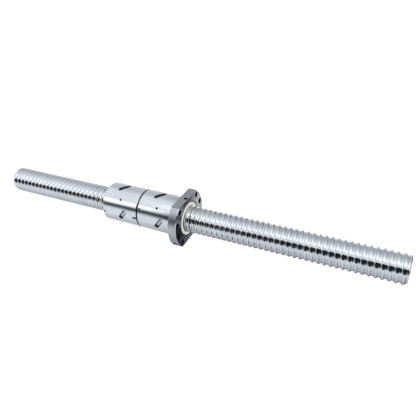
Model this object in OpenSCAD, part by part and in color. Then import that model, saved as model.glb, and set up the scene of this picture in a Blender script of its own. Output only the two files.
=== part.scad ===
// Ball screw with a flanged double nut. Millimetres, +Z up, +X along the screw towards the flange's open face.
// The origin is on the screw axis, in the plane of the flange's mounting face.
// Angles round the axis are counted from +Y towards +Z. The thread is right-hand.

/* [Screw] */
// Outside diameter of the screw over its thread crests, one standard size
screw_d = 50; // [50]
// Lead of the single-start thread, the standard one for this diameter
lead = 10; // [10]
// Ball diameter
ball_d = 6.35; // [6:0.05:6.35]
// Screw length behind the mounting face
screw_behind = 406; // [200:1:410]
// Screw length in front of the mounting face
screw_ahead = 397; // [60:1:410]
// Flat columns that make up one turn of the thread
thread_columns = 16; // [12:2:18]

/* [Nut] */
// Outside diameter of the nut body
nut_d = 75; // [74:0.5:80]
// Length of the front half behind the mounting face
front_body = 76; // [74:1:80]
// Gap between the halves, filled by the preload spacer
joint_gap = 3; // [2:0.5:4]
// Length of the rear half
rear_body = 76; // [74:1:80]
// Chamfer on the rear edge of the nut body
nut_chamfer = 1.2; // [0.5:0.1:2]

/* [Flange] */
// Diameter of the flange
flange_d = 110; // [108:1:120]
// Distance across the two flats
flange_flats = 85; // [82:1:90]
// Thickness of the flange
flange_t = 16; // [15:1:20]
// Edge chamfer on the flange
flange_chamfer = 0.8; // [0.3:0.1:1.5]
// Pitch circle diameter of the fixing holes
bolt_circle_d = 93; // [92:1:95]
// Diameter of the fixing holes
bolt_hole_d = 11; // [9:0.5:11]
// Angle from the flange's long axis to the inner fixing holes
bolt_angle_inner = 15; // [14:1:16]
// Angle from the flange's long axis to the outer fixing holes
bolt_angle_outer = 45; // [40:1:45]

/* [Lubrication] */
// Thread core diameter of the two ports in the flange's edge
port_d = 7; // [6:0.5:7]
// Depth of a port's threaded part
port_depth = 8; // [6:0.5:8]
// Distance of the open port, in the upper flat, from the mounting face
open_port_x = 11.5; // [8:0.5:11.5]
// Diameter of the passages that lead from the ports to the thread
passage_d = 3; // [2:0.5:3]
// Diameter of the oil holes through the nut body
oil_hole_d = 4.5; // [3:0.5:5]

/* [Return inserts] */
// Width of an insert's slot
slot_w = 8.6; // [8.6:0.1:9]
// Distance between the centres of a slot's round ends
slot_span = 16; // [15.5:0.5:16.5]
// Half of the angle that an insert's crossover takes up round the screw
cross_half = 14; // [13.5:0.5:14.5]
// Depth of an insert's outer face below the nut's surface
insert_recess = 3; // [1:0.1:3.5]
// Number of balls in one circuit
balls_per_circuit = 24; // [20:1:25]

/* [Wipers] */
// Diameter of the pocket that holds a wiper
pocket_d = 67; // [66:0.5:67]
// Depth of the pocket
pocket_depth = 6; // [6:0.5:7]
// Diameter of a wiper's nose
wiper_nose_d = 63; // [60:0.5:64]
// Length of a wiper's wide base
wiper_base = 3.2; // [3:0.1:3.5]

/* [Hidden] */
$fn = 64;
// Facets of the large round bodies
large_fn = 128;
// Extra length of a cutting tool beyond the face it cuts
over = 1;
// Angle of the seam of the turned bodies, clear of the slots, ports and small holes
seam_angle = 40;

ground_steel = [0.76, 0.77, 0.8];
insert_steel = [0.6, 0.61, 0.63];
ball_steel = [0.85, 0.86, 0.88];
spacer_steel = [0.28, 0.29, 0.31];
black_steel = [0.18, 0.18, 0.2];
cream_plastic = [0.93, 0.92, 0.86];

// Play round a ball in the screw and the nut, and sideways and above it in an insert's channel
groove_play = 0.12;
channel_side_play = 0.25;
channel_top_play = 0.6;
// Play of an insert in its slot, of a wiper's teeth in the thread and of the spacer between the halves
insert_play = 0.1;
wiper_play = 0.2;
spacer_play = 0.02;
screw_play = 0.05;

ball_r = ball_d / 2;
screw_r = screw_d / 2;
nut_r = nut_d / 2;
// Circle on which the ball centres run, and the radii of the groove's floor in the screw and in the nut
track_r = screw_r + ball_r / 4;
screw_floor_r = track_r - ball_r - groove_play;
nut_floor_r = track_r + ball_r + groove_play;
// Radius over the lands between the grooves in the nut's bore
nut_land_r = screw_r + 1.3;
// Half widths of a groove's floor and of its mouth, in the screw and in the nut
floor_half = 1.95;
screw_mouth_half = 3.3;
nut_mouth_half = 3.45;

joint_front = -front_body;
joint_rear = joint_front - joint_gap;
rear_end = joint_rear - rear_body;
front_pocket_x = flange_t - pocket_depth;
rear_pocket_x = rear_end + pocket_depth;

// The first insert of each half sits on a land at angle 0, and each next one a quarter turn and 1.25 leads on
front_insert_x = -5.5 * lead;
rear_insert_x = -13.5 * lead;
insert_step = 1.25 * lead;
insert_angles = [0, 90, 180, 270];
// Angle between a slot's long axis and a circle round the nut
slot_tilt = atan((lead / 2 - lead * cross_half / 360) / (track_r * sin(cross_half)));

// The oil holes open into the idle groove between the second and the third circuit of each half
oil_hole_angle = 135;
oil_hole_shift = 1.5 * insert_step;
open_port_angle = 90;
// The plugged port and both passages are in the middle of the flange, clear of the wiper's pocket
plugged_port_x = flange_t / 2;
plugged_port_angle = 210;
plug_depth = 2;

set_screw_d = 4;
lock_screw_d = 3.5;
lock_screw_depth = 5;
lock_screw_x = joint_front + 4;
lock_screw_angle = 147;
front_set_screw_x = front_pocket_x + wiper_base / 2;
front_set_screw_angle = 270;
rear_set_screw_x = rear_pocket_x - wiper_base / 2;
rear_set_screw_angle = 180;
screw_head_depth = 1;

// The key lies in a slot of the rear half, passes over the spacer and enters the front half with a round pin
key_angle = 180;
key_w = 4;
key_reach = 8;
key_top_r = nut_r - 1;
key_foot_r = nut_r - 3.6;
key_pin_d = 2;
key_pin_reach = 5;
spacer_outer_r = key_foot_r - 0.4;
spacer_inner_r = nut_floor_r + 1;

// ---- Helpers ----

// A point at distance r from the axis and angle a
function around(x, r, a) = [x, r * cos(a), r * sin(a)];

// Stands its children, made upright along +Z, along +X from x
module along_x(x) translate([x, 0, 0]) rotate([0, 90, 0]) children();

// Stands its children, made upright along +Z, on the axis at x so that they point outwards at angle a
module outwards(x, a) translate([x, 0, 0]) rotate([a - 90, 0, 0]) children();

// A radial rod of diameter d between two radii
module radial_rod(x, a, d, r_in, r_out)
    outwards(x, a) translate([0, 0, r_in]) cylinder(d = d, h = r_out - r_in);

// A turned body from x0 to x1 with a chamfer at each end
module turned(x0, x1, r, chamfer_0, chamfer_1)
    along_x(0) rotate([0, 0, seam_angle]) rotate_extrude($fn = large_fn)
        polygon([
            [0, x0], [r - chamfer_0, x0], [r, x0 + chamfer_0],
            [r, x1 - chamfer_1], [r - chamfer_1, x1], [0, x1]
        ]);

// ---- Thread ----

// Profile of one pitch as [offset from the groove's centre, radius] pairs
function groove_profile(mouth, crest_r, floor_r) =
    [[-mouth, crest_r], [-floor_half, floor_r], [floor_half, floor_r], [mouth, crest_r]];

// Radius of profile p at an offset from any groove's centre
function profile_radius(p, offset) =
    let (within = abs(offset - lead * floor(offset / lead + 0.5)))
    lookup(within, [[0, p[2][1]], p[2], p[3], [lead, p[3][1]]]);

// A rod from x0 to x1 whose surface is the helical thread with profile p, in flat columns
module threaded_rod(x0, x1, p) {
    n = thread_columns;
    m = len(p);
    first_turn = floor(x0 / lead) - 2;
    per_column = m * (ceil(x1 / lead) + 2 - first_turn);
    place = function (j, i) lead * (j / n + first_turn + floor(i / m)) + p[i % m][0];
    // Points past an end plane all become the one point where the column meets that plane
    spot = function (j, i)
        let (x = min(max(place(j, i), x0), x1))
        around(x, x == place(j, i) ? p[i % m][1] : profile_radius(p, x - lead * j / n), 360 * j / n);
    low = [for (j = [0:n - 1]) max([for (i = [0:4 * m - 1]) if (place(j, i) <= x0) i])];
    high = [for (j = [0:n - 1])
        min([for (i = [per_column - 4 * m:per_column - 1]) if (place(j, i) >= x1) i])];
    // Column n is column 0 one lead further on
    index = function (j, i)
        let (column = j % n, row = i + (j == n ? m : 0))
        column * per_column + min(max(row, low[column]), high[column]);
    centre = n * per_column;
    points = concat(
        [for (j = [0:n - 1], i = [0:per_column - 1]) spot(j, i)],
        [[x0, 0, 0], [x1, 0, 0]]
    );
    sides = [for (j = [0:n - 1], i = [-m:per_column - 1])
        let (a = index(j, i), b = index(j, i + 1), c = index(j + 1, i + 1), d = index(j + 1, i))
        each [if (a != b && b != d && a != d) [a, b, d], if (b != c && c != d && b != d) [b, c, d]]];
    caps = [for (j = [0:n - 1]) each [
        [centre, index(j, -m), index(j + 1, -m)],
        [centre + 1, index(j + 1, per_column), index(j, per_column)]
    ]];
    polyhedron(points, concat(sides, caps));
}

// The space for the thread inside a nut or a wiper: its flat columns stay outside the true radii
module thread_space(x0, x1, mouth, crest_r, floor_r) {
    flat = cos(180 / thread_columns);
    threaded_rod(x0, x1, groove_profile(mouth, crest_r / flat, floor_r / flat));
}

module nut_thread(x0, x1) thread_space(x0, x1, nut_mouth_half, nut_land_r, nut_floor_r);

// ---- Ball circuits ----

// Share of the crossing that is done at step s, from -1 to 1 on both scales
function crossing(s) = 0.7 * s + 0.3 * sin(90 * s);

// Radius at which a ball clears the land when it is this far from the land's centre
function clear_radius(offset) =
    let (gap = ball_r + groove_play, beside = offset - (lead / 2 - screw_mouth_half))
    beside >= gap ? track_r
    : max(track_r, screw_r + (beside <= 0 ? gap : sqrt(gap * gap - beside * beside)));

// Ball centre at step s of the crossover of the insert at x, a. Past -1 and 1 the track follows the thread
function cross_point(x, a, s) =
    let (offset = -lead / 2 * crossing(min(max(s, -1), 1)), turn = cross_half * s)
    around(x + offset + lead * turn / 360, clear_radius(abs(offset)), a + turn);

// Ball centre on the threaded part of the circuit, with t from 0 to 1
function thread_point(x, a, t) =
    let (turn = cross_half + t * (360 - 2 * cross_half))
    around(x - lead / 2 + lead * turn / 360, track_r, a + turn);

cross_length = 2 * (norm(cross_point(0, 0, -1) - cross_point(0, 0, -0.5))
    + norm(cross_point(0, 0, -0.5) - cross_point(0, 0, 0)));
thread_length = (1 - cross_half / 180) * norm([2 * PI * track_r, lead]);
circuit_length = cross_length + thread_length;

// One closed loop of balls, the first of them in the middle of the crossover
module ball_circuit(x, a)
    for (k = [0:balls_per_circuit - 1]) {
        done = (k / balls_per_circuit * circuit_length + cross_length / 2) % circuit_length;
        translate(done < cross_length
            ? cross_point(x, a, 2 * done / cross_length - 1)
            : thread_point(x, a, (done - cross_length) / thread_length))
            sphere(r = ball_r, $fn = 24);
    }

// ---- Return inserts ----

// A radial prism with round ends, as wide as w, that follows the slot at x, a
module slot_prism(x, a, w, r_in, r_out)
    outwards(x, a) rotate([0, 0, 90 - slot_tilt]) translate([0, 0, r_in]) {
        for (side = [-1, 1]) translate([side * slot_span / 2, 0, 0]) cylinder(d = w, h = r_out - r_in);
        translate([-slot_span / 2, -w / 2, 0]) cube([slot_span, w, r_out - r_in]);
    }

// The S-shaped channel in the underside of an insert, swept along the balls' path
module crossover_channel(x, a) {
    sides = 10;
    steps = [for (s = [-2:0.25:2]) s];
    wide = (ball_r + channel_side_play) / cos(180 / sides);
    high = (ball_r + channel_top_play) / cos(180 / sides);
    ring = function (s)
        let (
            centre = cross_point(x, a, s),
            ahead = cross_point(x, a, s + 0.05) - cross_point(x, a, s - 0.05),
            along = ahead / norm(ahead),
            sideways = cross(along, around(0, 1, a + cross_half * s)),
            level = sideways / norm(sideways),
            rise = cross(level, along)
        )
        [for (k = [0:sides - 1])
            centre + level * wide * cos(360 * k / sides) + rise * high * sin(360 * k / sides)];
    last = len(steps) - 1;
    skin = [for (i = [0:last - 1], k = [0:sides - 1])
        let (near = i * sides, far = near + sides, next = (k + 1) % sides)
        each [[near + k, near + next, far + next], [near + k, far + next, far + k]]];
    ends = [[for (k = [sides - 1:-1:0]) k], [for (k = [0:sides - 1]) last * sides + k]];
    polyhedron([for (s = steps) each ring(s)], concat(skin, ends));
}

// A return insert: fills its slot from the bore to a little below the nut's surface
module return_insert(x, a)
    difference() {
        intersection() {
            slot_prism(x, a, slot_w - 2 * insert_play, nut_land_r - 2 * over, nut_r + over);
            along_x(x - slot_span) cylinder(r = nut_r - insert_recess, h = 2 * slot_span, $fn = large_fn);
        }
        along_x(x - slot_span - over)
            cylinder(r = nut_land_r, h = 2 * (slot_span + over), $fn = large_fn);
        crossover_channel(x, a);
    }

module insert_slots(first_x)
    for (i = [0:3])
        slot_prism(first_x + i * insert_step, insert_angles[i], slot_w, nut_land_r - 2 * over, nut_r + over);

module insert_at(first_x, i)
    color(insert_steel) return_insert(first_x + i * insert_step, insert_angles[i]);

module balls_at(first_x, i)
    color(ball_steel) ball_circuit(first_x + i * insert_step, insert_angles[i]);

// ---- Screw shaft and nut halves ----

module screw_shaft()
    color(ground_steel)
        threaded_rod(-screw_behind, screw_ahead, groove_profile(screw_mouth_half, screw_r, screw_floor_r));

module flange_blank()
    intersection() {
        turned(0, flange_t, flange_d / 2, flange_chamfer, flange_chamfer);
        translate([-over, -flange_d, -flange_flats / 2]) cube([flange_t + 2 * over, 2 * flange_d, flange_flats]);
    }

module bolt_holes()
    for (side = [0, 180], turn = [-bolt_angle_outer, -bolt_angle_inner, bolt_angle_inner, bolt_angle_outer])
        translate(around(-over, bolt_circle_d / 2, side + turn)) along_x(0)
            cylinder(d = bolt_hole_d, h = flange_t + 2 * over, $fn = 48);

// A threaded port in the flange's edge and the passage from its floor to the thread
module lubrication_port(x, a, edge_r) {
    radial_rod(x, a, port_d, edge_r - port_depth, edge_r + over);
    radial_rod(plugged_port_x, a, passage_d, nut_land_r - over, edge_r - port_depth + screw_play);
}

module oil_hole(first_insert_x)
    radial_rod(first_insert_x + oil_hole_shift, oil_hole_angle, oil_hole_d, nut_land_r - over, nut_r + over);

module front_nut()
    color(ground_steel) difference() {
        union() {
            turned(joint_front, over, nut_r, nut_chamfer / 2, 0);
            flange_blank();
        }
        nut_thread(joint_front - over, front_pocket_x + over);
        along_x(front_pocket_x) cylinder(d = pocket_d, h = pocket_depth + over, $fn = large_fn);
        insert_slots(front_insert_x);
        bolt_holes();
        lubrication_port(open_port_x, open_port_angle, flange_flats / 2);
        lubrication_port(plugged_port_x, plugged_port_angle, flange_d / 2);
        oil_hole(front_insert_x);
        radial_rod(front_set_screw_x, front_set_screw_angle, set_screw_d,
            pocket_d / 2 - over, flange_flats / 2 + over);
        radial_rod(lock_screw_x, lock_screw_angle, lock_screw_d, nut_r - lock_screw_depth, nut_r + over);
        key_pin(joint_front - over, key_pin_d + 2 * screw_play, key_pin_reach + over);
    }

module rear_nut()
    color(ground_steel) difference() {
        turned(rear_end, joint_rear, nut_r, nut_chamfer, nut_chamfer / 2);
        nut_thread(rear_pocket_x - over, joint_rear + over);
        along_x(rear_end - over) cylinder(d = pocket_d, h = pocket_depth + over, $fn = large_fn);
        insert_slots(rear_insert_x);
        oil_hole(rear_insert_x);
        radial_rod(rear_set_screw_x, rear_set_screw_angle, set_screw_d, pocket_d / 2 - over, nut_r + over);
        key_bar(joint_rear - key_reach, joint_rear + over, key_w, key_foot_r - 2 * screw_play, nut_r + over);
    }

// ---- Spacer and key at the joint ----

module preload_spacer()
    color(spacer_steel) difference() {
        along_x(joint_rear + spacer_play)
            cylinder(r = spacer_outer_r, h = joint_gap - 2 * spacer_play, $fn = large_fn);
        along_x(joint_rear - over) cylinder(r = spacer_inner_r, h = joint_gap + 2 * over, $fn = large_fn);
    }

module key_bar(x0, x1, w, r_in, r_out)
    outwards(x0, key_angle) translate([0, -w / 2, r_in]) cube([x1 - x0, w, r_out - r_in]);

module key_pin(x0, d, reach)
    translate(around(x0, (key_top_r + key_foot_r) / 2, key_angle)) along_x(0) cylinder(d = d, h = reach, $fn = 24);

module anti_rotation_key()
    color(black_steel) {
        key_bar(joint_rear - key_reach + screw_play, joint_front - screw_play,
            key_w - 2 * screw_play, key_foot_r, key_top_r);
        key_pin(joint_front - over, key_pin_d, over + key_pin_reach - 4 * screw_play);
    }

// ---- Wipers and small screws ----

// A wiper whose wide base starts at x and whose nose points along +X or, with side -1, along -X
module wiper(x, side)
    color(cream_plastic) difference() {
        union() {
            along_x(side > 0 ? x : x - wiper_base)
                cylinder(d = pocket_d - 2 * screw_play, h = wiper_base, $fn = large_fn);
            along_x(side > 0 ? x : x - pocket_depth)
                cylinder(d = wiper_nose_d, h = pocket_depth, $fn = large_fn);
        }
        thread_space(x - pocket_depth - over, x + pocket_depth + over,
            screw_mouth_half - wiper_play, screw_r + wiper_play, screw_floor_r + wiper_play);
    }

// A headless screw with a hexagon socket in its outer face
module grub_screw(x, a, d, r_in, r_out)
    difference() {
        radial_rod(x, a, d, r_in, r_out);
        outwards(x, a) translate([0, 0, r_out - d / 2]) cylinder(d = d / 1.8, h = d, $fn = 6);
    }

module wiper_set_screws()
    color(black_steel) {
        grub_screw(front_set_screw_x, front_set_screw_angle, set_screw_d - screw_play,
            pocket_d / 2, flange_flats / 2 - screw_head_depth);
        grub_screw(rear_set_screw_x, rear_set_screw_angle, set_screw_d - screw_play,
            pocket_d / 2, nut_r - screw_head_depth);
    }

module joint_lock_screw()
    color(black_steel)
        grub_screw(lock_screw_x, lock_screw_angle, lock_screw_d - screw_play,
            nut_r - lock_screw_depth + screw_play, nut_r - screw_head_depth);

module port_plug()
    color(black_steel)
        grub_screw(plugged_port_x, plugged_port_angle, port_d - screw_play,
            flange_d / 2 - port_depth + screw_play, flange_d / 2 - plug_depth);

screw_shaft();
front_nut();
rear_nut();
preload_spacer();
anti_rotation_key();
wiper(front_pocket_x, 1);  // front_wiper
wiper(rear_pocket_x, -1);  // rear_wiper
insert_at(front_insert_x, 0);  // insert_front_1
insert_at(front_insert_x, 1);  // insert_front_2
insert_at(front_insert_x, 2);  // insert_front_3
insert_at(front_insert_x, 3);  // insert_front_4
insert_at(rear_insert_x, 0);  // insert_rear_1
insert_at(rear_insert_x, 1);  // insert_rear_2
insert_at(rear_insert_x, 2);  // insert_rear_3
insert_at(rear_insert_x, 3);  // insert_rear_4
balls_at(front_insert_x, 0);  // balls_front_1
balls_at(front_insert_x, 1);  // balls_front_2
balls_at(front_insert_x, 2);  // balls_front_3
balls_at(front_insert_x, 3);  // balls_front_4
balls_at(rear_insert_x, 0);  // balls_rear_1
balls_at(rear_insert_x, 1);  // balls_rear_2
balls_at(rear_insert_x, 2);  // balls_rear_3
balls_at(rear_insert_x, 3);  // balls_rear_4
wiper_set_screws();
joint_lock_screw();
port_plug();
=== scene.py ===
"""Ball screw with a flanged double nut: materials, fine threads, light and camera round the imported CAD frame."""

import math

import bmesh
import bpy
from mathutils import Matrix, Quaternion, Vector


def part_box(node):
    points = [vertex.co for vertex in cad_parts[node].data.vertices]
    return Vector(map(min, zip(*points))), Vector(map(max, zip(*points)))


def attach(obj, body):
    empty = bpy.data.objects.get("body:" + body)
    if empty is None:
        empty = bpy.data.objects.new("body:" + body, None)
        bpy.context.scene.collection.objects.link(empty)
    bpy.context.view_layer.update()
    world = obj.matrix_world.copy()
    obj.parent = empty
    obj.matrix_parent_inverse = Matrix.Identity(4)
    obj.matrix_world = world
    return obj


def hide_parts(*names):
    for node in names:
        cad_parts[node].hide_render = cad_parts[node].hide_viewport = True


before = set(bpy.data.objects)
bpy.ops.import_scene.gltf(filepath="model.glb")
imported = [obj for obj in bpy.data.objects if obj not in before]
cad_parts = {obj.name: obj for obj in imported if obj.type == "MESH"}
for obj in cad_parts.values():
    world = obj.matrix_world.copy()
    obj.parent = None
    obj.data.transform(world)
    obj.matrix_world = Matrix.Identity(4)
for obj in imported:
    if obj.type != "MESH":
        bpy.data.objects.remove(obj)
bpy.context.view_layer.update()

# ---- Driving sizes, in metres, in the frame's own axes ----

LEAD = 0.010
SCREW_R = 0.025
BALL_R = 0.003175
TRACK_R = 0.0258  # from the screw's axis to the centres of the balls

# The groove's two arcs: their radius in ball radii, and the steps along each
ARC_OVERSIZE = 1.03
ARC_STEPS = 6
# The rounding of a crest: how far along and how far below it each point lies, in widths of the rounding
CREST_ROUNDING = [(-0.2, 1.0), (0.35, 0.3), (1.2, 0.0)]
COLUMNS = 64  # round the thread
SPARE_TURNS = 2  # made past each end of a thread and cut off there

SCREW_LOW, SCREW_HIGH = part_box("screw_shaft")
NUT_LOW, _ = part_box("front_nut")
_, REAR_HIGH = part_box("rear_nut")
NUT_R = REAR_HIGH.y
FLOOR_Z = NUT_LOW.z  # the flange stands on its lower flat

# The camera is placed as in the picture: lens, place, the point it looks at and its roll
CAMERA_LENS = 36.0
CAMERA_PLACE = Vector((0.3365, -0.5594, 0.4530))
CAMERA_AIM = Vector((0.0594, 0.0004, 0.0290))
CAMERA_ROLL = math.radians(-3.0)


# ---- Mesh helpers ----


def gothic_profile(play, edge):
    """One pitch of the thread as (offset from the groove's centre, radius) points, from the left crest to the right.
    Each flank is an arc a little larger than the ball, and edge is the width of the rounding at the crest.
    play is how far the whole profile stands off the screw's own."""
    arc_r = ARC_OVERSIZE * BALL_R + play
    shift = (arc_r - BALL_R - play) / math.sqrt(2)
    crest = SCREW_R + play
    lowest = math.asin(shift / arc_r)
    highest = math.acos((TRACK_R + shift - crest) / arc_r)
    flank = []
    for i in range(ARC_STEPS + 1):
        angle = lowest + (highest - lowest) * i / ARC_STEPS
        flank.append((arc_r * math.sin(angle) - shift, TRACK_R + shift - arc_r * math.cos(angle)))
    mouth, _ = flank.pop()
    flank += [(mouth + along * edge, crest - below * edge) for along, below in CREST_ROUNDING]
    left = [(-u, r) for u, r in reversed(flank[1:])]
    return left + flank


def profile_radius(profile, offset):
    """Radius of a periodic profile at an offset from a groove's centre."""
    u = (offset + LEAD / 2) % LEAD - LEAD / 2
    if u <= profile[0][0] or u >= profile[-1][0]:
        return profile[0][1]
    for (u0, r0), (u1, r1) in zip(profile, profile[1:]):
        if u0 <= u <= u1:
            return r0 + (r1 - r0) * (u - u0) / (u1 - u0)
    return profile[0][1]


def thread_columns(x0, x1, profile, limit):
    """Columns of points along a helical thread from x0 to x1, each with its first and its last index in use.
    limit(x, r) gives the radius allowed at x, which makes the screw's end chamfers and the wipers' mouths."""
    first = math.floor(x0 / LEAD) - SPARE_TURNS
    last = math.ceil(x1 / LEAD) + SPARE_TURNS
    columns = []
    for j in range(COLUMNS):
        angle = 2 * math.pi * j / COLUMNS
        column = []
        low, high = 0, None
        for turn in range(first, last):
            for u, r in profile:
                x = LEAD * (turn + j / COLUMNS) + u
                if x <= x0:
                    low = len(column)
                if x >= x1 and high is None:
                    high = len(column)
                if x <= x0 or x >= x1:
                    x = min(max(x, x0), x1)
                    r = profile_radius(profile, x - LEAD * j / COLUMNS)
                column.append((x, limit(x, r), angle))
        columns.append((column, low, high))
    return columns


def around(x, r, angle):
    """The point at x along the screw, r from its axis and angle round it."""
    return Vector((x, r * math.cos(angle), r * math.sin(angle)))


def tidy_face(indices):
    """The face without repeated corners, or None if fewer than three are left."""
    kept = []
    for index in indices:
        if index not in kept:
            kept.append(index)
    return kept if len(kept) > 2 else None


def thread_mesh(name, x0, x1, profile, limit, outer=None):
    """A threaded rod with closed ends or, with outer, a ring whose bore is the thread.
    outer is the ring's outside as (x, radius) points from x0 to x1."""
    columns = thread_columns(x0, x1, profile, limit)
    pitch = len(profile)
    points, faces, start = [], [], []
    for column, _, _ in columns:
        start.append(len(points))
        points += [around(*point) for point in column]

    def index(j, i):
        column, low, high = columns[j % COLUMNS]
        row = i + (pitch if j == COLUMNS else 0)
        return start[j % COLUMNS] + min(max(row, low), high)

    inwards = outer is not None
    for j in range(COLUMNS):
        for i in range(-pitch, len(columns[0][0])):
            face = tidy_face([index(j, i), index(j + 1, i), index(j + 1, i + 1), index(j, i + 1)])
            if face:
                faces.append(face[::-1] if inwards else face)
    ends = [(x0, -pitch), (x1, len(columns[0][0]))]
    if inwards:
        skins = []
        for x, r in outer:
            skins.append(len(points))
            points += [around(x, r, 2 * math.pi * j / COLUMNS) for j in range(COLUMNS)]
        for j in range(COLUMNS):
            k = (j + 1) % COLUMNS
            for a, b in zip(skins, skins[1:]):
                faces.append([a + j, a + k, b + k, b + j])
            faces.append([index(j, ends[0][1]), index(j + 1, ends[0][1]), skins[0] + k, skins[0] + j])
            faces.append([skins[-1] + j, skins[-1] + k, index(j + 1, ends[1][1]), index(j, ends[1][1])])
    else:
        for side, (x, i) in enumerate(ends):
            centre = len(points)
            points.append(Vector((x, 0, 0)))
            for j in range(COLUMNS):
                face = [centre, index(j, i), index(j + 1, i)]
                faces.append(face[::-1] if side == 0 else face)
    mesh = bpy.data.meshes.new(name)
    mesh.from_pydata(points, [], faces)
    mesh.validate()
    obj = bpy.data.objects.new(name, mesh)
    bpy.context.scene.collection.objects.link(obj)
    drop_loose_points(mesh)
    return obj


def drop_loose_points(mesh):
    """Deletes the points that no face uses."""
    work = bmesh.new()
    work.from_mesh(mesh)
    loose = [v for v in work.verts if not v.link_faces]
    bmesh.ops.delete(work, geom=loose, context="VERTS")
    bmesh.ops.recalc_face_normals(work, faces=work.faces)
    work.to_mesh(mesh)
    work.free()


def shade(obj, degrees):
    """Smooth shading with edges sharper than this left crisp."""
    mesh = obj.data
    mesh.polygons.foreach_set("use_smooth", [True] * len(mesh.polygons))
    mesh.set_sharp_from_angle(angle=math.radians(degrees))
    mesh.update()


# ---- Materials ----


def node(tree, kind, **settings):
    made = tree.nodes.new(kind)
    for key, value in settings.items():
        setattr(made, key, value)
    return made


def math_node(tree, operation, a, b=None):
    made = node(tree, "ShaderNodeMath", operation=operation)
    for socket, value in zip(made.inputs, (a, b)):
        if value is None:
            continue
        if isinstance(value, (int, float)):
            socket.default_value = value
        else:
            tree.links.new(value, socket)
    return made.outputs[0]


def polar(tree):
    """Sockets for x along the screw, the angle round it and the distance from it."""
    place = node(tree, "ShaderNodeTexCoord").outputs["Object"]
    parts = node(tree, "ShaderNodeSeparateXYZ")
    tree.links.new(place, parts.inputs[0])
    x, y, z = parts.outputs
    angle = math_node(tree, "ARCTAN2", z, y)
    yy = math_node(tree, "MULTIPLY", y, y)
    zz = math_node(tree, "MULTIPLY", z, z)
    radius = math_node(tree, "SQRT", math_node(tree, "ADD", yy, zz))
    return x, angle, radius


def joined(tree, a, b, c):
    made = node(tree, "ShaderNodeCombineXYZ")
    for socket, value in zip(made.inputs, (a, b, c)):
        tree.links.new(value, socket)
    return made.outputs[0]


def noise(tree, vector, scale, detail, roughness=0.6):
    made = node(tree, "ShaderNodeTexNoise")
    made.inputs["Scale"].default_value = scale
    made.inputs["Detail"].default_value = detail
    made.inputs["Roughness"].default_value = roughness
    tree.links.new(vector, made.inputs["Vector"])
    return made.outputs["Fac"]


def between(tree, factor, low, high):
    """Maps a 0 to 1 factor to low to high."""
    made = node(tree, "ShaderNodeMapRange")
    made.inputs["To Min"].default_value = low
    made.inputs["To Max"].default_value = high
    tree.links.new(factor, made.inputs["Value"])
    return made.outputs[0]


def tinted(tree, factor, dark, light):
    """A colour between two, by a factor."""
    ramp = node(tree, "ShaderNodeValToRGB")
    ramp.color_ramp.elements[0].color = (*dark, 1)
    ramp.color_ramp.elements[1].color = (*light, 1)
    ramp.color_ramp.elements[0].position = 0.3
    ramp.color_ramp.elements[1].position = 0.7
    tree.links.new(factor, ramp.inputs[0])
    return ramp.outputs[0]


def mixed_colour(tree, factor, a, b):
    """Colour a where the factor is 0 and b where it is 1."""
    made = node(tree, "ShaderNodeMix", data_type="RGBA")
    tree.links.new(factor, made.inputs["Factor"])
    for key, value in (("A", a), ("B", b)):
        if isinstance(value, tuple):
            made.inputs[key].default_value = value
        else:
            tree.links.new(value, made.inputs[key])
    return made.outputs["Result"]


def step(tree, value, start, end, low, high):
    """low below start, high above end and a smooth change between them."""
    made = node(tree, "ShaderNodeMapRange", interpolation_type="SMOOTHSTEP")
    for key, number in (("From Min", start), ("From Max", end), ("To Min", low), ("To Max", high)):
        made.inputs[key].default_value = number
    tree.links.new(value, made.inputs["Value"])
    return made.outputs[0]


def bump(tree, shader, height, distance):
    made = node(tree, "ShaderNodeBump")
    made.inputs["Distance"].default_value = distance
    tree.links.new(height, made.inputs["Height"])
    tree.links.new(made.outputs[0], shader.inputs["Normal"])


def new_material(name, metallic, viewport):
    material = bpy.data.materials.new(name)
    material.use_nodes = True
    material.diffuse_color = (*viewport, 1)
    tree = material.node_tree
    shader = tree.nodes["Principled BSDF"]
    shader.inputs["Metallic"].default_value = metallic
    return material, tree, shader


LINE_DENSITY = 900.0  # of the machining lines, along the axis and outwards
LINE_LEAN = 0.6  # how fast the lines change round the axis
FINE_SHARE = 0.7  # of the lines in the roughness, the rest being broad patches
CORNER_SHADE = (0.62, 0.94)  # share of open sky where the painted corner shade is full, and where it ends
# The colour of the painted shade in corners
CORNER_PAINTED_SHADE = (0.01, 0.01, 0.012, 1)
PLASTIC_SPREAD, BLACK_SPREAD = 0.08, 0.1  # how far the roughness goes to each side of a material's own


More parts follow.
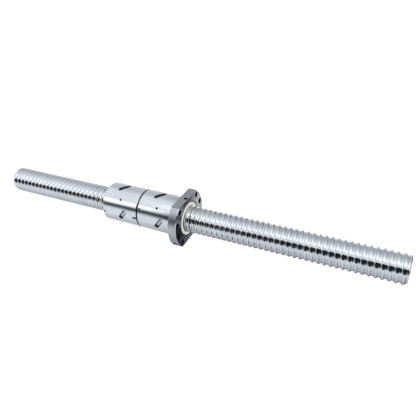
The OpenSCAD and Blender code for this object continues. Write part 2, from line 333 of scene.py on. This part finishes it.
def ground_steel(name, dark, light, smooth, rough, line_depth, anisotropy=0.0, crown=0.0, corners=0.0):
    """Steel finished by grinding or turning, with fine lines round the axis.
    crown is how much a face falls away outwards, which gives a turned face its change of tone.
    corners is the distance from a wall within which painted shade darkens the steel's colour."""
    material, tree, shader = new_material(name, metallic=1.0, viewport=light)
    x, angle, radius = polar(tree)
    lines = joined(
        tree,
        math_node(tree, "MULTIPLY", x, LINE_DENSITY),
        math_node(tree, "MULTIPLY", angle, LINE_LEAN),
        math_node(tree, "MULTIPLY", radius, LINE_DENSITY),
    )
    fine = noise(tree, lines, scale=1.0, detail=4.0, roughness=0.7)
    place = node(tree, "ShaderNodeTexCoord").outputs["Object"]
    broad = noise(tree, place, scale=35.0, detail=2.0, roughness=0.5)
    colour = tinted(tree, broad, dark, light)
    # Painted shade: the colour goes dark near walls, by ambient occlusion
    if corners:
        painted_shade_ao = node(tree, "ShaderNodeAmbientOcclusion", samples=8)
        painted_shade_ao.inputs["Distance"].default_value = corners
        unshaded = step(tree, painted_shade_ao.outputs["AO"], *CORNER_SHADE, 0.0, 1.0)
        colour = mixed_colour(tree, unshaded, CORNER_PAINTED_SHADE, colour)
    tree.links.new(colour, shader.inputs["Base Color"])
    fine_part = math_node(tree, "MULTIPLY", fine, FINE_SHARE)
    broad_part = math_node(tree, "MULTIPLY", broad, 1 - FINE_SHARE)
    mixed = math_node(tree, "ADD", fine_part, broad_part)
    tree.links.new(between(tree, mixed, smooth, rough), shader.inputs["Roughness"])
    shader.inputs["Anisotropic"].default_value = anisotropy
    if anisotropy:
        tangent = node(tree, "ShaderNodeTangent", direction_type="RADIAL", axis="X")
        tree.links.new(tangent.outputs[0], shader.inputs["Tangent"])
    height = math_node(tree, "MULTIPLY", fine, line_depth)
    if crown:
        height = math_node(tree, "SUBTRACT", height, math_node(tree, "MULTIPLY", radius, crown))
    bump(tree, shader, height, distance=1.0)
    return material


def plastic(name, dark, light, rough):
    """Moulded plastic with a slight mottle and a fine skin."""
    material, tree, shader = new_material(name, metallic=0.0, viewport=light)
    place = node(tree, "ShaderNodeTexCoord").outputs["Object"]
    mottle = noise(tree, place, scale=120.0, detail=3.0)
    grain = noise(tree, place, scale=2600.0, detail=2.0)
    tree.links.new(tinted(tree, mottle, dark, light), shader.inputs["Base Color"])
    tree.links.new(between(tree, grain, rough - PLASTIC_SPREAD, rough + PLASTIC_SPREAD), shader.inputs["Roughness"])
    shader.inputs["Subsurface Weight"].default_value = 0.15
    shader.inputs["Subsurface Radius"].default_value = (0.0012, 0.0012, 0.0009)
    bump(tree, shader, grain, distance=0.00004)
    return material


def blackened(name, dark, light, rough):
    """Dark machined or black-oxide steel, which also serves as the painted shade on the walls of the nut's holes and
    slots.
    """
    material, tree, shader = new_material(name, metallic=0.2, viewport=light)
    shader.inputs["Specular IOR Level"].default_value = 0.2
    place = node(tree, "ShaderNodeTexCoord").outputs["Object"]
    patches = noise(tree, place, scale=300.0, detail=4.0)
    tree.links.new(tinted(tree, patches, dark, light), shader.inputs["Base Color"])
    tree.links.new(between(tree, patches, rough - BLACK_SPREAD, rough + BLACK_SPREAD), shader.inputs["Roughness"])
    bump(tree, shader, patches, distance=0.00005)
    return material


SCREW_STEEL = ground_steel(
    "screw_ground_steel", dark=(0.76, 0.78, 0.82), light=(0.86, 0.87, 0.90),
    smooth=0.04, rough=0.11, line_depth=0.000003,
)
NUT_STEEL = ground_steel(
    "nut_ground_steel", dark=(0.84, 0.85, 0.89), light=(0.90, 0.91, 0.94),
    smooth=0.10, rough=0.18, line_depth=0.000005,
)
RIM_STEEL = ground_steel(
    "flange_rim_steel", dark=(0.50, 0.51, 0.54), light=(0.60, 0.61, 0.64),
    smooth=0.24, rough=0.36, line_depth=0.00001,
)
FACE_STEEL = ground_steel(
    "flange_turned_face", dark=(0.29, 0.30, 0.32), light=(0.36, 0.37, 0.39),
    smooth=0.20, rough=0.30, line_depth=0.000006, anisotropy=0.5, crown=0.18,
)
# Painted shade: the walls of holes, slots and the bore are near-black
BORE_PAINTED_SHADE = blackened("hole_wall_painted_shade", dark=(0.012, 0.013, 0.016), light=(0.03, 0.03, 0.035), rough=0.5)
# The inserts get painted shade near the walls of their slots
INSERT_STEEL = ground_steel(
    "insert_sintered_steel", dark=(0.66, 0.67, 0.70), light=(0.76, 0.77, 0.80),
    smooth=0.28, rough=0.4, line_depth=0.00001, corners=0.0045,
)
BALL_STEEL = ground_steel(
    "ball_polished_steel", dark=(0.82, 0.83, 0.85), light=(0.88, 0.89, 0.91),
    smooth=0.04, rough=0.07, line_depth=0.000001,
)
SPACER_STEEL = blackened("spacer_dark_steel", dark=(0.05, 0.055, 0.06), light=(0.10, 0.105, 0.115), rough=0.45)
BLACK_STEEL = blackened("screws_black_oxide", dark=(0.012, 0.012, 0.014), light=(0.03, 0.03, 0.034), rough=0.5)
WIPER_PLASTIC = plastic("wiper_cream_plastic", dark=(0.83, 0.85, 0.71), light=(0.91, 0.93, 0.80), rough=0.42)
# Painted shade: near-black on the wipers' step and in their bore
WIPER_PAINTED_SHADE = plastic("wiper_painted_shade", dark=(0.012, 0.012, 0.011), light=(0.03, 0.03, 0.027), rough=0.6)


BODY, RIM, FACE, BORE = range(4)  # the nut's finishes and the painted shade of its holes, in the order of its material slots
RING, GAP = range(2)  # the wipers' cream finish and their painted shade

# How faces are told apart: the cosine of a flat end, of a face that looks outwards, and a few distances
FLAT_END = 0.98
OUTWARDS = 0.6
RIM_CLEARANCE = 0.002  # the rim and its chamfers are farther than this outside the nut's body
FLAT_SLACK = 0.0002  # a face this little inside the flange's flats still counts as one of them
BODY_CHAMFER = 0.0013  # outward faces deeper than this in the body have the rim's finish


def set_material(obj, *materials):
    obj.data.materials.clear()
    for material in materials:
        obj.data.materials.append(material)


def paint_nut_half(obj):
    """Gives each face of a nut half its finish, by where it is and which way it looks; the walls of holes, slots and
    the bore get a painted near-black shade.
    """
    set_material(obj, NUT_STEEL, RIM_STEEL, FACE_STEEL, BORE_PAINTED_SHADE)
    for face in obj.data.polygons:
        centre, normal = face.center, face.normal
        radius = math.hypot(centre.y, centre.z)
        outwards = Vector((0, centre.y, centre.z)).normalized().dot(normal)
        if abs(normal.x) > FLAT_END:
            face.material_index = FACE
        elif outwards > FLAT_END and radius > NUT_R + RIM_CLEARANCE:
            face.material_index = RIM
        elif abs(centre.z) > -FLOOR_Z - FLAT_SLACK:
            face.material_index = RIM
        elif outwards > OUTWARDS and radius > NUT_R - BODY_CHAMFER:
            face.material_index = BODY
        elif outwards > OUTWARDS:
            face.material_index = RIM
        else:
            face.material_index = BORE


CAD_CREASE = 32  # the angle in degrees from which a CAD node's edge stays crisp

for name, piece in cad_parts.items():
    if name in ("front_nut", "rear_nut"):
        paint_nut_half(piece)
    elif name.startswith("insert"):
        set_material(piece, INSERT_STEEL)
    elif name.startswith("balls"):
        set_material(piece, BALL_STEEL)
    elif name == "preload_spacer":
        set_material(piece, SPACER_STEEL)
    elif name in ("anti_rotation_key", "wiper_set_screws", "joint_lock_screw", "port_plug"):
        set_material(piece, BLACK_STEEL)
    shade(piece, CAD_CREASE)


# ---- The screw and the wipers, with fine threads ----

# The rounding at the thread's crests, and the angle in degrees from which an edge stays crisp
SCREW_EDGE, SCREW_CREASE = 0.00032, 30
WIPER_EDGE, WIPER_CREASE = 0.0002, 40

END_CHAMFER = 0.0012
WIPER_PLAY = 0.00025  # between the screw's thread and the wiper's
WIPER_BASE = 0.0032  # length of the wide part that sits in the nut
NOSE_STEP = 0.002  # how much narrower the nose is than the base
WIPER_ROUNDING = 0.0004
WIPER_MOUTH = 0.0007  # how far the bore opens out at the nose's tip
TIP_REACH = 0.0005  # faces nearer to the nose's tip than this stay cream
STEP_SLACK = 0.0002  # faces this little outside the nose still count as the nose


def screw_limit(x, r):
    """The screw's radius at x, cut down by the chamfers at its two ends."""
    from_end = min(x - SCREW_LOW.x, SCREW_HIGH.x - x)
    return min(r, SCREW_R - max(0.0, END_CHAMFER - from_end))


def make_screw():
    profile = gothic_profile(0.0, SCREW_EDGE)
    screw = thread_mesh("screw_thread", SCREW_LOW.x, SCREW_HIGH.x, profile, screw_limit)
    set_material(screw, SCREW_STEEL)
    shade(screw, SCREW_CREASE)
    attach(screw, "screw")
    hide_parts("screw_shaft")


def make_wiper(name, cad_node, outward):
    """A stepped plastic ring whose bore follows the thread. Round its nose and in its bore it is painted near-black
    as shade.
    outward is 1 where the nose points along +X and -1 where it points along -X."""
    low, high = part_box(cad_node)
    base_r = high.y
    nose_r = base_r - NOSE_STEP
    outer = [
        (low.x, base_r - WIPER_ROUNDING),
        (low.x + WIPER_ROUNDING, base_r),
        (low.x + WIPER_BASE, base_r),
        (low.x + WIPER_BASE, nose_r),
        (high.x - WIPER_ROUNDING, nose_r),
        (high.x, nose_r - WIPER_ROUNDING),
    ]
    if outward < 0:
        outer = [(low.x + high.x - x, r) for x, r in reversed(outer)]
    tip = high.x if outward > 0 else low.x

    def mouth(x, r):
        """The bore opens out towards the nose's tip."""
        return max(r, SCREW_R + WIPER_MOUTH - abs(x - tip))

    ring = thread_mesh(name, low.x, high.x, gothic_profile(WIPER_PLAY, WIPER_EDGE), mouth, outer)
    set_material(ring, WIPER_PLASTIC, WIPER_PAINTED_SHADE)
    # Painted shade on the step outside the nose and in the bore
    for face in ring.data.polygons:
        radius = math.hypot(face.center.y, face.center.z)
        outside_nose = abs(face.center.x - tip) > TIP_REACH and radius > nose_r + STEP_SLACK
        in_bore = radius < SCREW_R + WIPER_MOUTH
        face.material_index = GAP if outside_nose or in_bore else RING
    shade(ring, WIPER_CREASE)
    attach(ring, "nut")
    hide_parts(cad_node)


make_screw()
make_wiper("wiper_ring_front", "front_wiper", 1)
make_wiper("wiper_ring_rear", "rear_wiper", -1)


# ---- Floor, light and camera ----

FLOOR_REACH = 6.0  # from the middle to each side
FLOOR_GAP = 0.0005  # between the flange and the floor
FLOOR_GREY = 0.22
FLOOR_GLOW = 0.92


def make_floor():
    """A pale floor under the flange. It glows, so that it stays white to its far edge."""
    mesh = bpy.data.meshes.new("floor")
    side = FLOOR_REACH
    corners = [(-side, -side), (side, -side), (side, side), (-side, side)]
    mesh.from_pydata([(x, y, FLOOR_Z - FLOOR_GAP) for x, y in corners], [], [(0, 1, 2, 3)])
    floor = bpy.data.objects.new("floor", mesh)
    bpy.context.scene.collection.objects.link(floor)
    floor.visible_glossy = False
    material, tree, shader = new_material("floor_pale", metallic=0.0, viewport=(0.95, 0.95, 0.95))
    shader.inputs["Base Color"].default_value = (FLOOR_GREY, FLOOR_GREY, FLOOR_GREY, 1)
    shader.inputs["Roughness"].default_value = 0.9
    shader.inputs["Specular IOR Level"].default_value = 0.0
    shader.inputs["Emission Color"].default_value = (1, 1, 1, 1)
    shader.inputs["Emission Strength"].default_value = FLOOR_GLOW
    mesh.materials.append(material)


# Brightness of the studio by the angle in the plane across the screw, in degrees from the front horizon (0) over the
# top (90). AHEAD is what the screw's right part mirrors, and LEFT what the nut and the screw's left part mirror.
BRIGHTEST = 1.3
AHEAD = [
    # the floor behind with a bright strip, and the floor in front
    (-180, 0.66), (-152, 1.30), (-141, 0.62), (-128, 0.24), (-110, 0.30),
    (-90, 0.50), (-70, 0.56), (-30, 0.76), (-11, 0.82),
    # the dark gap under the panel
    (-7, 0.55), (-4, 0.02), (38, 0.008),
    # the panel, with a thin grey bar across it
    (40, 1.15), (43, 1.15), (45, 0.50), (47, 0.60), (55, 1.00), (62, 1.30), (74, 1.25),
    # the ceiling and the back
    (86, 0.95), (108, 0.68), (122, 0.54), (134, 0.48), (156, 0.46), (168, 0.58), (180, 0.66),
]
LEFT = [
    # the floor behind and in front
    (-180, 0.70), (-131, 0.80), (-90, 0.55), (-70, 0.62), (-50, 0.80), (-10, 0.82),
    # the dark gap under the panel
    (-2, 0.60), (4, 0.16), (10, 0.06), (19, 0.09), (22, 0.50), (27, 0.85),
    # the panel
    (31, 1.28), (45, 1.28), (51, 0.84),
    # the ceiling and the back
    (88, 0.86), (108, 0.82), (124, 0.62), (145, 0.56), (165, 0.62), (180, 0.70),
]
# The places along x where one part of the studio changes into the next: an even wall on the far left, LEFT and AHEAD
WALL_TO_LEFT = (-0.93, -0.75)
LEFT_TO_AHEAD = (-0.50, -0.42)
WALL_LEVEL = 0.62
# Low on the right the studio falls off to a dim tone: where it starts and where it ends along x and z, and along y
DIM_LEVEL = 0.06
DIM_X = (0.34, 0.52), (0.80, 0.92)
DIM_Z = (-0.80, -0.66), (0.05, 0.25)
DIM_Y = (-0.40, -0.18)
# A grey's red and green as shares of its blue, in the dark and how much they gain in the light
RED_DARK, RED_GAIN = 0.82, 0.15
GREEN_DARK, GREEN_GAIN = 0.92, 0.06


def bluish(tone):
    """A grey of the studio, the darker the bluer."""
    red = tone * (RED_DARK + RED_GAIN * tone)
    green = tone * (GREEN_DARK + GREEN_GAIN * tone)
    return red, green, tone, 1


def ramp_by_angle(tree, turn, levels):
    """A tone by the angle in turns, as a share of the brightest level of the studio."""
    ramp = node(tree, "ShaderNodeValToRGB")
    stops = ramp.color_ramp.elements
    stops.remove(stops[-1])
    for degrees, level in levels:
        place = degrees / 360 + 0.5
        stop = stops[0] if place == 0 else stops.new(place)
        stop.color = bluish(level / BRIGHTEST)
    tree.links.new(turn, ramp.inputs[0])
    return ramp.outputs[0]


def within(tree, value, rise, fall):
    """1 between the rise and the fall, each given by its start and its end, and 0 outside them."""
    return math_node(tree, "MULTIPLY", step(tree, value, *rise, 0.0, 1.0), step(tree, value, *fall, 1.0, 0.0))


def make_world():
    """A soft studio: a bright panel high in front, a dark gap under it, a paler top and a grey back.
    Only glossy reflections see it. Matt surfaces and the camera get an even white."""
    world = bpy.data.worlds.new("studio")
    bpy.context.scene.world = world
    world.use_nodes = True
    tree = world.node_tree
    tree.nodes.clear()
    direction = node(tree, "ShaderNodeTexCoord").outputs["Generated"]
    parts = node(tree, "ShaderNodeSeparateXYZ")
    tree.links.new(direction, parts.inputs[0])
    x, y, z = parts.outputs
    angle = math_node(tree, "ARCTAN2", z, math_node(tree, "MULTIPLY", y, -1.0))
    turn = math_node(tree, "ADD", math_node(tree, "DIVIDE", angle, 2 * math.pi), 0.5)
    ahead, left = ramp_by_angle(tree, turn, AHEAD), ramp_by_angle(tree, turn, LEFT)
    tone = mixed_colour(tree, step(tree, x, *LEFT_TO_AHEAD, 0.0, 1.0), left, ahead)
    wall = bluish(WALL_LEVEL / BRIGHTEST)
    tone = mixed_colour(tree, step(tree, x, *WALL_TO_LEFT, 0.0, 1.0), wall, tone)
    studio = node(tree, "ShaderNodeBackground")
    low = math_node(tree, "MULTIPLY", within(tree, z, *DIM_Z), step(tree, y, *DIM_Y, 0.0, 1.0))
    dimmed = math_node(tree, "MULTIPLY", within(tree, x, *DIM_X), low)
    tree.links.new(between(tree, dimmed, BRIGHTEST, BRIGHTEST * DIM_LEVEL), studio.inputs["Strength"])
    tree.links.new(tone, studio.inputs["Color"])
    white = node(tree, "ShaderNodeBackground")
    white.inputs["Color"].default_value = (1, 1, 1, 1)
    chosen = node(tree, "ShaderNodeMixShader")
    tree.links.new(node(tree, "ShaderNodeLightPath").outputs["Is Glossy Ray"], chosen.inputs[0])
    tree.links.new(white.outputs[0], chosen.inputs[1])
    tree.links.new(studio.outputs[0], chosen.inputs[2])
    tree.links.new(chosen.outputs[0], node(tree, "ShaderNodeOutputWorld").inputs["Surface"])


def make_lamp(name, place, aim, size, energy):
    data = bpy.data.lights.new(name, "AREA")
    data.shape = "RECTANGLE"
    data.size, data.size_y = size
    data.energy = energy
    lamp = bpy.data.objects.new(name, data)
    lamp.location = place
    lamp.rotation_mode = "QUATERNION"
    lamp.rotation_quaternion = (Vector(aim) - Vector(place)).to_track_quat("-Z", "Y")
    lamp.visible_glossy = False
    bpy.context.scene.collection.objects.link(lamp)


def make_camera():
    data = bpy.data.cameras.new("camera")
    data.lens = CAMERA_LENS
    data.sensor_width = 36.0
    data.clip_start, data.clip_end = 0.01, 50
    camera = bpy.data.objects.new("camera", data)
    camera.location = CAMERA_PLACE
    camera.rotation_mode = "QUATERNION"
    level = (CAMERA_AIM - CAMERA_PLACE).to_track_quat("-Z", "Y")
    camera.rotation_quaternion = level @ Quaternion((0, 0, 1), CAMERA_ROLL)
    bpy.context.scene.collection.objects.link(camera)
    bpy.context.scene.camera = camera


make_floor()
make_world()
make_lamp("overhead_panel", place=(0.0, -0.3, 1.6), aim=(0, 0, 0), size=(2.5, 2.0), energy=8.0)
make_camera()
bpy.context.scene.view_settings.view_transform = "Standard"
